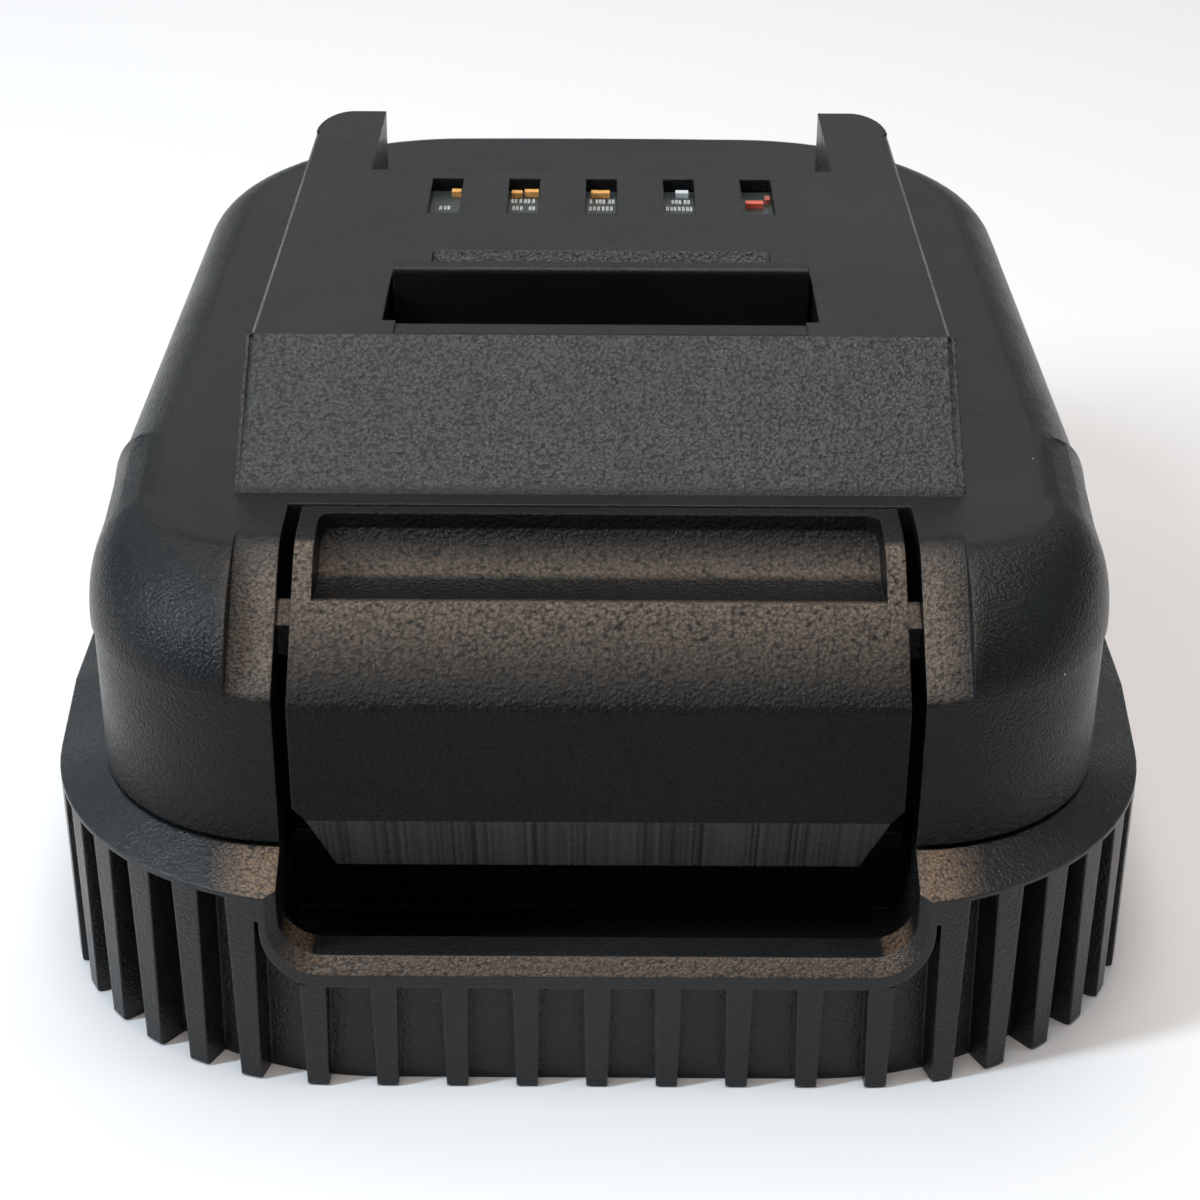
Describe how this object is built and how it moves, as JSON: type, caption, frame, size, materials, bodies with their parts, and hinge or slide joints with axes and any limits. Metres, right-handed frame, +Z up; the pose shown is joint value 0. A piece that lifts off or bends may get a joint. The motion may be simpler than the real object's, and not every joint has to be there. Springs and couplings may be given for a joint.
{
  "type": "battery adapter",
  "caption": "Slide-on battery adapter: ribbed base, domed housing with a slotted rail block, sprung release button with a latch, and a blade channel underneath.",
  "frame": {"origin": "centre of the bounding box on the surface that the adapter stands on", "axes": "+Z up, the release button faces -Y, the tool's contacts come in from +Y, X across"},
  "size_m": [0.0824, 0.11, 0.0462],
  "materials": {
    "housing_plastic": "fine moulded grain",
    "base_plastic": "fine moulded grain",
    "button_plastic": "coarse moulded grain",
    "latch_plastic": "smooth moulded",
    "carrier_plastic": "smooth moulded",
    "spring_steel": "drawn wire",
    "screw_steel": "zinc plated",
    "contact_brass": "stamped",
    "board_lacquer": "solder lacquer",
    "chip_ceramic": "ceramic",
    "chip_black": "moulded epoxy",
    "wire_black": "insulation",
    "wire_white": "insulation",
    "wire_red": "insulation"
  },
  "bodies": {
    "adapter_body": {"upper_housing": "housing_plastic", "base_shell": "base_plastic", "latch_spring_left": "spring_steel", "latch_spring_right": "spring_steel", "terminal_board": "board_lacquer", "chip_capacitors": "chip_ceramic", "power_transistors": "chip_black", "sense_chip": "chip_black", "contact_carrier": "carrier_plastic", "carrier_screws": "screw_steel", "contact_clip_1": "contact_brass", "contact_clip_2": "contact_brass", "contact_clip_3": "contact_brass", "contact_clip_4": "contact_brass", "contact_clip_5": "contact_brass", "blade_holder": "carrier_plastic", "holder_screws": "screw_steel", "blade_negative": "contact_brass", "blade_signal_left": "contact_brass", "blade_signal_right": "contact_brass", "blade_positive": "contact_brass", "wire_negative": "wire_black", "wire_signal_left": "wire_white", "wire_signal_right": "wire_white", "wire_positive": "wire_red", "housing_screws": "screw_steel"},
    "release": {"release_button": "button_plastic", "latch_slider": "latch_plastic", "slider_screws": "screw_steel"}
  },
  "joints": [
    {"name": "release_press", "type": "slide", "parent": "adapter_body", "child": "release", "axis": [0, 0, -1], "range_m": [0, 0.005], "stiffness_N_per_m": 1400, "springref_m": -0.003, "deforming": ["latch_spring_left", "latch_spring_right"]}
  ]
}
